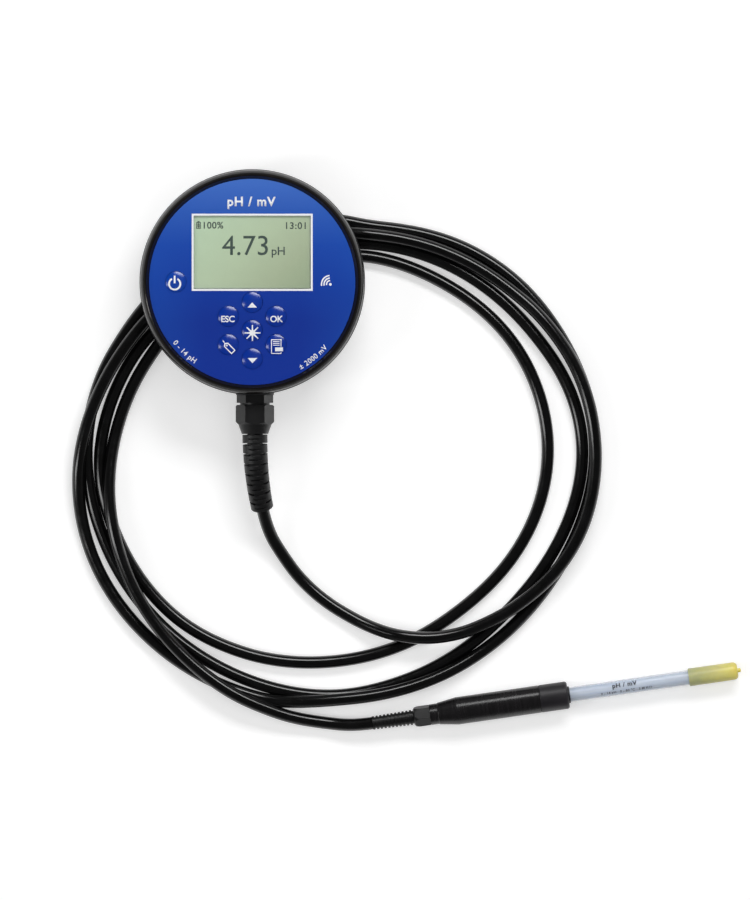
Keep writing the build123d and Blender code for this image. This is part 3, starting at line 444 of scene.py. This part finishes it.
# Glands, seals and strain reliefs: dull black, which keeps their flats and ribs readable
NYLON = moulded("moulded_black_nylon", "#0e0e0f", "#151516", 0.34, 0.3, 0.01, 0.25)
RUBBER = moulded("moulded_black_elastomer", "#0c0c0d", "#131314", 0.42, 0.25, 0.015, 0.2)
# Lead: the deepest black, with one sharp light along each turn
JACKET = material("extruded_black_pvc_jacket", lead_jacket)
# Probe: a glossy handle against a matt collar, and pale glass that ends in the yellow cap
ACETAL = material("turned_black_acetal", turned_handle)
BLASTED = moulded("blasted_charcoal_acetal", "#1c1a1e", "#242226", 0.45, 0.2, 0.02, 0.3)
GLASS = material("clear_electrode_tube", electrode_glass)
FILLING = material("cloudy_electrolyte_gel", electrode_filling)
CAP = material("translucent_yellow_vinyl", soft_cap)
SILVER = drawn_metal("silver_wire", "#bdbdbb", "#dcdcd9", 0.25)
PLATINUM = drawn_metal("platinum", "#b9b6ae", "#d6d3cb", 0.2)
# Fasteners and inside pieces: each in the plain tone of its kind
STEEL = drawn_metal("plain_steel", "#8f9092", "#b4b5b6", 0.3)
NICKEL = drawn_metal("nickel_plate", "#b0aa9c", "#cfcabd", 0.25)
SLEEVE = moulded("shrink_sleeve", "#232327", "#2d2d32", 0.3, 0.8, 0.005)
POTTING = moulded("epoxy_potting", "#6f6d66", "#7d7b73", 0.4, 0.6, 0.01)
LAMINATE = material("green_circuit_laminate", circuit_laminate)
# Table: plain white, so that only the part draws the eye
TABLE = material("white_table", white_table)

KEYS = ["power", "up", "escape", "ok", "light", "probe", "log", "down"]
FINISHES = {
    SATIN_ABS: ["rear_housing", "battery_cover"],
    POLISHED_ABS: ["front_bezel"],
    FILM: ["face_plate"] + ["key_" + name for name in KEYS],
    PANE: ["display_window"],
    WHITE_INK: ["display_border"],
    CRYSTAL: ["display_panel"],
    NYLON: ["gland_body", "gland_locknut", "gland_nut", "probe_gland_nut", "key_switches"],
    RUBBER: ["housing_seal", "battery_cover_seal", "gland_seal", "strain_relief",
             "probe_strain_relief", "probe_o_ring", "tube_seal"],
    JACKET: ["cable_entry", "cable_lead", "cable_coil", "cable_tail"],
    ACETAL: ["probe_handle"],
    BLASTED: ["probe_collar"],
    GLASS: ["electrode_tube", "inner_tube"],
    CAP: ["storage_cap"],
    STEEL: ["housing_screws", "board_screws", "battery_cover_screws"],
    NICKEL: ["battery_contacts"],
    SILVER: ["reference_wire"],
    PLATINUM: ["platinum_pin"],
    SLEEVE: ["battery_front", "battery_rear"],
    POTTING: ["electrode_plug"],
    LAMINATE: ["circuit_board", "probe_board"],
}


def finish_frame():
    """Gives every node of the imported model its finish."""
    for finish, names in FINISHES.items():
        for name in names:
            node = NODES[name]
            if not node.material_slots:
                node.data.materials.append(finish)
            for place in node.material_slots:
                place.material = finish


def linked(name, data):
    """New object in the scene."""
    made = bpy.data.objects.new(name, data)
    bpy.context.scene.collection.objects.link(made)
    return made


def add_piece(name, built, finish, body):
    """Adds a finished bmesh as a piece that rides on a body."""
    mesh = bpy.data.meshes.new(name)
    built.to_mesh(mesh)
    built.free()
    mesh.materials.append(finish)
    piece = linked(name, mesh)
    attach(piece, body)


def coil_place(angle):
    """Radius and height of the lead, in millimetres, at an angle counted through its turns."""
    last = len(STATIONS) - 2
    index = min(sum(1 for station in STATIONS[1:-1] if station[0] <= angle), last)
    before, start, end, after = (STATIONS[max(min(index + step, last + 1), 0)]
                                 for step in (-1, 0, 1, 2))
    span = end[0] - start[0]
    share = (angle - start[0]) / span
    values = []
    for axis in (1, 2):
        slope_start = (end[axis] - before[axis]) / (end[0] - before[0]) * span
        slope_end = (after[axis] - start[axis]) / (after[0] - start[0]) * span
        values.append((2 * share ** 3 - 3 * share ** 2 + 1) * start[axis]
                      + (share ** 3 - 2 * share ** 2 + share) * slope_start
                      + (3 * share ** 2 - 2 * share ** 3) * end[axis]
                      + (share ** 3 - share ** 2) * slope_end)
    return values


def lead_points():
    """Route of the lead from the meter's strain relief through its turns to the probe's."""
    points = [Vector(LEAD_MOUTH_MM) * MM, Vector(LEAD_FIRST_MM) * MM]
    points += [COIL_MIDDLE + Vector(point) * MM for point in LEAD_ROUTE_MM]
    # The smooth line runs inside its control points, so they stand a little outside the turns
    stand_off = 1 / math.cos(math.radians(COIL_STEP / 2))
    for index in range(COIL_POINTS):
        angle = COIL_FROM + COIL_STEP * index
        radius, height = coil_place(angle)
        turn = math.radians(angle)
        points.append(COIL_MIDDLE + Vector((
            radius * stand_off * math.cos(turn), radius * stand_off * math.sin(turn),
            max(height, LYING_MM))) * MM)
    points += [COIL_MIDDLE + Vector(point) * MM for point in TAIL_ROUTE_MM]
    return points + [Vector(TAIL_LAST_MM) * MM, PROBE_REAR.copy()]


def make_lead():
    """The whole lead, one cord on one smooth line."""
    curve = bpy.data.curves.new("lead", "CURVE")
    curve.dimensions = "3D"
    points = lead_points()
    spline = curve.splines.new("NURBS")
    spline.points.add(len(points) - 1)
    for target, point in zip(spline.points, points):
        target.co = (*point, 1.0)
    spline.order_u = 3
    spline.use_endpoint_u = True
    spline.resolution_u = 6
    curve.bevel_depth = LEAD_D_MM / 2 * MM
    curve.bevel_resolution = 5
    curve.use_fill_caps = True
    curve.materials.append(JACKET)
    lead = linked("lead", curve)
    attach(lead, ROOT)
    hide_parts("cable_lead", "cable_coil", "cable_tail")
    tuple(points[0])


def plain_mesh(holder):
    """Mesh that an object gives with its modifiers. The object itself is removed."""
    evaluated = holder.evaluated_get(bpy.context.evaluated_depsgraph_get())
    mesh = bpy.data.meshes.new_from_object(evaluated)
    bpy.data.objects.remove(holder)
    return mesh


def lettering(words, weight=0.0, spacing=1.0):
    """Flat mesh of a line of text, one capital high, with the middle of its base at the origin."""
    meshes = []
    for body in ("H", words):
        curve = bpy.data.curves.new("text", "FONT")
        curve.body = body
        curve.offset = weight
        curve.space_character = spacing
        curve.resolution_u = 4
        meshes.append(plain_mesh(linked("text", curve)))
    capital, mesh = meshes
    cap_height = max(v.co.y for v in capital.vertices)
    left = min(v.co.x for v in mesh.vertices)
    right = max(v.co.x for v in mesh.vertices)
    mesh.transform(Matrix.Scale(1 / cap_height, 4)
                   @ Matrix.Translation((-(left + right) / 2, 0, 0)))
    return mesh


def shapes(outlines_of_shapes):
    """Flat mesh of filled shapes, each a list with an outline and its holes."""
    joined = bmesh.new()
    for outlines in outlines_of_shapes:
        curve = bpy.data.curves.new("shape", "CURVE")
        curve.dimensions = "2D"
        curve.fill_mode = "BOTH"
        for outline in outlines:
            spline = curve.splines.new("POLY")
            spline.points.add(len(outline) - 1)
            for target, (x, y) in zip(spline.points, outline):
                target.co = (x, y, 0.0, 1.0)
            spline.use_cyclic_u = True
        joined.from_mesh(plain_mesh(linked("shape", curve)))
    mesh = bpy.data.meshes.new("shapes")
    joined.to_mesh(mesh)
    joined.free()
    return mesh


def arc_points(radius, angles, middle):
    """Points at angles in degrees about a middle."""
    return [(middle[0] + radius * math.cos(math.radians(angle)),
             middle[1] + radius * math.sin(math.radians(angle))) for angle in angles]


def ring(radius, line, start=0.0, end=360.0, middle=(0.0, 0.0)):
    """Outlines of a ring, or of an arc of it, about a middle."""
    count = max(8, round((end - start) / 9))
    whole = end - start >= 360
    angles = [start + (end - start) * i / count for i in range(count + (0 if whole else 1))]
    outer = arc_points(radius + line / 2, angles, middle)
    inner = arc_points(radius - line / 2, angles, middle)
    return [outer, inner] if whole else [outer + inner[::-1]]


def disc(radius, middle=(0.0, 0.0), sides=32):
    """Outline of a filled disc."""
    return [arc_points(radius, [360 * i / sides for i in range(sides)], middle)]


def bar(start, end, width, end_width=None):
    """Outline of a straight stroke, which may taper."""
    start, end = Vector(start), Vector(end)
    side = (end - start).normalized().orthogonal()
    near, far = side * width / 2, side * (end_width or width) / 2
    return [[tuple(start + near), tuple(end + far), tuple(end - far), tuple(start - near)]]


def rounded_box(width, height, corner, middle):
    """Outline of a rectangle with rounded corners."""
    points = []
    for x, y, start in ((1, 1, 0), (-1, 1, 90), (-1, -1, 180), (1, -1, 270)):
        points += arc_points(corner, [start + 30 * step for step in range(4)], (
            middle[0] + x * (width / 2 - corner), middle[1] + y * (height / 2 - corner)))
    return points


def frame_outline(width, height, line, middle, corner):
    """Outlines of a rectangular frame with rounded corners."""
    return [rounded_box(width, height, corner, middle),
            rounded_box(width - 2 * line, height - 2 * line, corner / 2, middle)]


def cut_in_cells(built, cell_mm):
    """Cuts a flat bmesh along both of its axes, so that it can follow a curve."""
    for axis in (0, 1):
        low = min(v.co[axis] for v in built.verts)
        high = max(v.co[axis] for v in built.verts)
        count = math.ceil((high - low) / cell_mm)
        normal = Vector((1 - axis, axis, 0))
        for index in range(1, count):
            bmesh.ops.bisect_plane(
                built, geom=built.verts[:] + built.edges[:] + built.faces[:],
                plane_co=normal * (low + (high - low) * index / count), plane_no=normal)


def printed_piece(name, mesh, finish, body, place_at, cell_mm=0.0):
    """Thin solid of a flat mesh in millimetres, laid on a surface by place_at(x, y, height)."""
    built = bmesh.new()
    built.from_mesh(mesh)
    bpy.data.meshes.remove(mesh)
    bmesh.ops.remove_doubles(built, verts=built.verts, dist=1e-5)
    if cell_mm:
        cut_in_cells(built, cell_mm)
    bmesh.ops.triangulate(built, faces=built.faces)
    if sum(face.normal.z for face in built.faces) < 0:
        bmesh.ops.reverse_faces(built, faces=built.faces)
    extruded = bmesh.ops.extrude_face_region(built, geom=built.faces[:], use_keep_orig=True)
    raised = {v for v in extruded["geom"] if isinstance(v, bmesh.types.BMVert)}
    for vertex in built.verts:
        height = INK_LIFT_MM + (INK_MM if vertex in raised else 0.0)
        vertex.co = place_at(vertex.co.x, vertex.co.y, height)
    bmesh.ops.recalc_face_normals(built, faces=built.faces)
    add_piece(name, built, finish, body)


def placed(mesh, size, middle=(0.0, 0.0)):
    """The mesh at a size in millimetres, moved to a place."""
    mesh.transform(Matrix.Translation((middle[0], middle[1], 0)) @ Matrix.Scale(size, 4))
    return mesh


def on_face(x, y, height):
    """Place on the face, from its middle."""
    return Vector((FACE.x + x * MM, FACE.y + y * MM, FACE_TOP + height * MM))


def round_face(mid_angle):
    """Places of lettering that runs round the lower edge of the face, its foot outwards."""
    def place_at(x, y, height):
        angle = math.radians(mid_angle) + x / RANGE_ROUND_MM
        r = RANGE_ROUND_MM - y
        return on_face(r * math.cos(angle), r * math.sin(angle), height)
    return place_at


def on_key(name):
    """Places on the dome of a key, from its middle."""
    middle = middle_of("key_" + name)

    def place_at(x, y, height):
        drop = KEY_BALL_MM - math.sqrt(max(KEY_BALL_MM ** 2 - x * x - y * y, 0))
        return Vector((middle.x + x * MM, middle.y + y * MM,
                       FACE_TOP + (KEY_DOME_MM - drop + height) * MM))
    return place_at


def on_crystal(x, y, height):
    """Place on the liquid crystal film, from the middle of the face."""
    return Vector((FACE.x + x * MM, FACE.y + y * MM, CRYSTAL_TOP + height * MM))


def on_tube(mid_mm, roll):
    """Places on the electrode tube, with the text along it and its middle turned by roll."""
    def place_at(x, y, height):
        angle = math.radians(roll) + y / TUBE_R_MM
        r = TUBE_R_MM + height
        return (PROBE_REAR + PROBE_ALONG * (mid_mm + x) * MM
                + PROBE_ACROSS * r * math.sin(angle) * MM
                + Vector((0, 0, r * math.cos(angle) * MM)))
    return place_at


def power_symbol():
    """Ring open at the top, with a bar in the opening."""
    line = 0.85
    return shapes([ring(2.65, line, 118, 422), bar((0, 0.3), (0, 3.9), line)])


def arrow_symbol(direction):
    """Filled triangle that points up or down."""
    foot, tip = -1.15 * direction, 1.25 * direction
    return shapes([[[(-2.2, foot), (2.2, foot), (0, tip)]]])


def key_word(words):
    """Bold word on a key."""
    return placed(lettering(words, 0.02, 0.95), KEY_WORD_MM, (0, -1.5))


def repeated_round(mesh, count, finish):
    """The mesh turned about +Z into a full round of copies, made by Geometry Nodes."""
    tree = bpy.data.node_groups.new("round_of_copies", "GeometryNodeTree")
    tree.interface.new_socket("Geometry", in_out="INPUT", socket_type="NodeSocketGeometry")
    number = tree.interface.new_socket("Count", in_out="INPUT", socket_type="NodeSocketInt")
    tree.interface.new_socket("Geometry", in_out="OUTPUT", socket_type="NodeSocketGeometry")
    given = add(tree, "NodeGroupInput").outputs
    places = add(tree, "GeometryNodePoints", {"Count": given["Count"]})
    index = add(tree, "GeometryNodeInputIndex").outputs[0]
    share = math_of(tree, "DIVIDE", index, given["Count"])
    rotation = add(tree, "CombineXYZ", {"Z": math_of(tree, "MULTIPLY", share, math.tau)})
    copies = add(tree, "GeometryNodeInstanceOnPoints", {
        "Points": places.outputs[0], "Instance": given["Geometry"],
        "Rotation": rotation.outputs[0]})
    real = add(tree, "GeometryNodeRealizeInstances", {"Geometry": copies.outputs[0]})
    painted = add(tree, "GeometryNodeSetMaterial", {
        "Geometry": real.outputs[0], "Material": finish})
    add(tree, "NodeGroupOutput", {"Geometry": painted.outputs[0]})
    holder = linked("copies", mesh)
    modifier = holder.modifiers.new("round_of_copies", "NODES")
    modifier.node_group = tree
    modifier[number.identifier] = count
    return plain_mesh(holder)


def light_symbol():
    """Disc with eight rays."""
    ray = shapes([bar((1.0, 0.0), (3.75, 0.0), 0.75, 0.5)])
    symbol = repeated_round(ray, 8, WHITE_INK)
    joined = bmesh.new()
    joined.from_mesh(symbol)
    joined.from_mesh(shapes([disc(1.4)]))
    joined.to_mesh(symbol)
    joined.free()
    return symbol


def tag_symbol():
    """Slanting tag with a string hole and its string."""
    turn = Matrix.Rotation(math.radians(-45), 2)
    body = [(-2.9, 0.0), (-1.9, 1.35), (3.2, 1.35), (3.2, -1.35), (-1.9, -1.35)]
    inner = [(-2.2, 0.0), (-1.6, 0.85), (2.7, 0.85), (2.7, -0.85), (-1.6, -0.85)]
    string = bar((-4.3, 0.35), (-3.0, 0.15), 0.4)
    hole = ring(0.3, 0.3, middle=(-1.3, 0.0))
    return shapes([[[tuple(turn @ Vector(point)) for point in outline] for outline in part]
                   for part in ([body, inner], string, hole)])


def log_symbol():
    """Sheet with lines of writing and a filled corner mark."""
    lines = [bar((-1.6, y), (1.6, y), 0.35) for y in (2.5, 1.6, 0.7)]
    mark = [[(-0.6, -0.4), (3.3, -0.4), (3.3, -2.3), (-0.6, -2.3)]]
    sheet = [[(-2.55, 3.6), (2.55, 3.6), (2.55, 0.0), (2.15, 0.0), (2.15, 3.2), (-2.15, 3.2),
              (-2.15, -3.2), (2.15, -3.2), (2.15, -2.7), (2.55, -2.7), (2.55, -3.6),
              (-2.55, -3.6)]]
    return placed(shapes(lines + [mark, sheet]), 0.95)


def wireless_symbol():
    """Dot with three arcs round it."""
    dot = (1.5, -1.6)
    arcs = [ring(radius, 0.75, 95, 190, dot) for radius in (2.1, 3.5, 4.9)]
    return shapes([disc(0.75, dot)] + arcs)


def make_key_symbols():
    """White symbols on the domes of the keys, which ride with them."""
    symbols = {
        "power": (power_symbol(), (-0.6, -0.95)),
        "up": (arrow_symbol(1), (0.0, -1.3)),
        "escape": (key_word("ESC"), (-0.2, -1.1)),
        "ok": (key_word("OK"), (0.3, -1.1)),
        "light": (light_symbol(), (0.1, -1.1)),
        "probe": (tag_symbol(), (0.2, -1.3)),
        "log": (log_symbol(), (0.1, -0.9)),
        "down": (arrow_symbol(-1), (0.1, -0.8)),
    }
    for name, (mesh, shift) in symbols.items():
        printed_piece("symbol_" + name, placed(mesh, 1.0, shift), WHITE_INK,
                      "key_" + name, on_key(name), KEY_CELL_MM)


def make_face_print():
    """White words and the wireless symbol on the face."""
    def face_print(name, mesh, place_at, cell_mm=0.0):
        printed_piece(name, mesh, WHITE_INK, ROOT, place_at, cell_mm)
    face_print("face_title", placed(lettering("pH / mV", 0.03, 1.1), TITLE_MM, (-0.3, 35.7)),
               on_face)
    face_print("face_range_left", placed(lettering("0 - 14 pH", 0.012, 1.06), RANGE_MM),
               round_face(226.0), RANGE_CELL_MM)
    face_print("face_range_right", placed(lettering("± 2000 mV", 0.012, 1.06), RANGE_MM),
               round_face(309.0), RANGE_CELL_MM)
    face_print("face_wireless", placed(wireless_symbol(), 0.85, (35.4, 0.2)), on_face)


def make_display_film():
    """Front film of the liquid crystal display."""
    low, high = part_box("display_window")
    inset = CRYSTAL_INSET_MM * MM
    film = bmesh.new()
    bmesh.ops.create_cube(film, size=1.0)
    for vertex in film.verts:
        at = vertex.co + Vector((0.5, 0.5, 0.5))
        vertex.co = Vector((low.x + inset + at.x * (high.x - low.x - 2 * inset),
                            low.y + inset + at.y * (high.y - low.y - 2 * inset),
                            CRYSTAL_TOP - (1 - at.z) * CRYSTAL_THICK_MM * MM))
    bmesh.ops.bevel(film, geom=film.edges[:], offset=CRYSTAL_EDGE_MM * MM, segments=1,
                    affect="EDGES")
    add_piece("display_film", film, CRYSTAL, ROOT)


def cell_symbol():
    """Small cell with its charge and its nipple."""
    middle = (-25.2, 26.5)
    return shapes([
        frame_outline(2.2, 3.1, 0.35, middle, 0.2), frame_outline(1.0, 2.0, 0.45, middle, 0.1),
        [[(-25.7, 28.05), (-24.7, 28.05), (-24.7, 28.5), (-25.7, 28.5)]]])


def make_figures():
    """Dark figures of the liquid crystal display."""
    figures = {
        "figure_value": placed(lettering("4.73"), 9.0, (-3.4, 12.6)),
        "figure_unit": placed(lettering("pH", 0.01), 3.8, (12.2, 12.7)),
        "figure_charge": placed(lettering("100%", 0.015, 1.06), 3.1, (-18.2, 25.1)),
        "figure_time": placed(lettering("13:01", 0.015, 1.12), 3.1, (20.5, 24.9)),
        "figure_cell": cell_symbol(),
    }
    for name, flat in figures.items():
        printed_piece(name, flat, CRYSTAL_INK, ROOT, on_crystal)


def make_filling():
    """Gel in the electrode tube: one full cylinder, which hides the inner tube and the wire."""
    filling = bmesh.new()
    bmesh.ops.create_cone(filling, cap_ends=True, segments=FILLING_SIDES, radius1=1.0,
                          radius2=1.0, depth=1.0)
    radius = (TUBE_BORE_R_MM - FILLING_CLEAR_MM) * MM
    for vertex in filling.verts:
        reach = FILLING_FROM_MM + (vertex.co.z + 0.5) * (FILLING_TO_MM - FILLING_FROM_MM)
        vertex.co = (PROBE_REAR + PROBE_ALONG * reach * MM + PROBE_ACROSS * vertex.co.x * radius
                     + Vector((0, 0, vertex.co.y * radius)))
    bmesh.ops.recalc_face_normals(filling, faces=filling.faces)
    for face in filling.faces:
        face.smooth = len(face.verts) == 4
    add_piece("electrode_filling", filling, FILLING, ROOT)


def make_tube_print():
    """Black words on the electrode tube."""
    title = placed(lettering("pH / mV", 0.025, 1.1), TUBE_TITLE_MM, (0, -0.7))
    printed_piece("tube_title", title, BLACK_INK, ROOT,
                  on_tube(120.0, 14), TUBE_CELL_MM)
    notes = placed(lettering("0 - 14 pH   0 - 80 °C   3 M KCl", 0.02, 1.1), TUBE_NOTES_MM,
                   (0, -0.5))
    printed_piece("tube_notes", notes, BLACK_INK, ROOT,
                  on_tube(120.5, -32), TUBE_CELL_MM)


def make_table():
    """White table."""
    half = TABLE_HALF
    top = bpy.data.meshes.new("table")
    top.from_pydata([(-half, -half, 0), (half, -half, 0), (half, half, 0), (-half, half, 0)],
                    [], [(0, 1, 2, 3)])
    top.materials.append(TABLE)
    linked("table", top)


def make_lamps():
    """Soft lamps that face the middle of the picture."""
    for name, place, size, watts, mirrored in LAMPS:
        lamp = bpy.data.lights.new(name, "AREA")
        lamp.shape = "RECTANGLE"
        lamp.size, lamp.size_y = size
        lamp.energy = watts
        holder = linked(name, lamp)
        holder.location = place
        way = PICTURE_MIDDLE - Vector(place)
        holder.rotation_euler = way.to_track_quat("-Z", "Y").to_euler()
        holder.visible_glossy = mirrored


def make_room():
    """Room round the table, grey low down and dim above."""
    world = bpy.data.worlds.new("room")
    world.use_nodes = True
    tree = world.node_tree
    tree.nodes.clear()
    way = add(tree, "TexCoord").outputs["Generated"]
    height = add(tree, "SeparateXYZ", {"Vector": way}).outputs["Z"]
    tone = ramp(tree, height, [
        (0.0, "#a8a8a8"), (1.0, "#3a3a3a"), (0.12, "#969696"), (0.4, "#565656")])
    sky = add(tree, "Background", {"Color": tone, "Strength": 1.0})
    add(tree, "OutputWorld", {"Surface": sky.outputs[0]})
    bpy.context.scene.world = world


def make_camera():
    """Camera that looks straight down, from so far that the lines of sight are nearly parallel."""
    lens = bpy.data.cameras.new("camera")
    lens.sensor_fit = "VERTICAL"
    lens.sensor_height = SENSOR_MM
    lens.lens = SENSOR_MM * CAMERA_HEIGHT / PICTURE_HEIGHT
    camera = linked("camera", lens)
    camera.location = PICTURE_MIDDLE + Vector((0, 0, CAMERA_HEIGHT))
    bpy.context.scene.camera = camera
    bpy.context.scene.view_settings.view_transform = "Standard"


finish_frame()
make_table()
make_lamps()
make_room()
make_camera()
make_lead()
make_key_symbols()
make_face_print()
make_display_film()
make_figures()
make_filling()
make_tube_print()
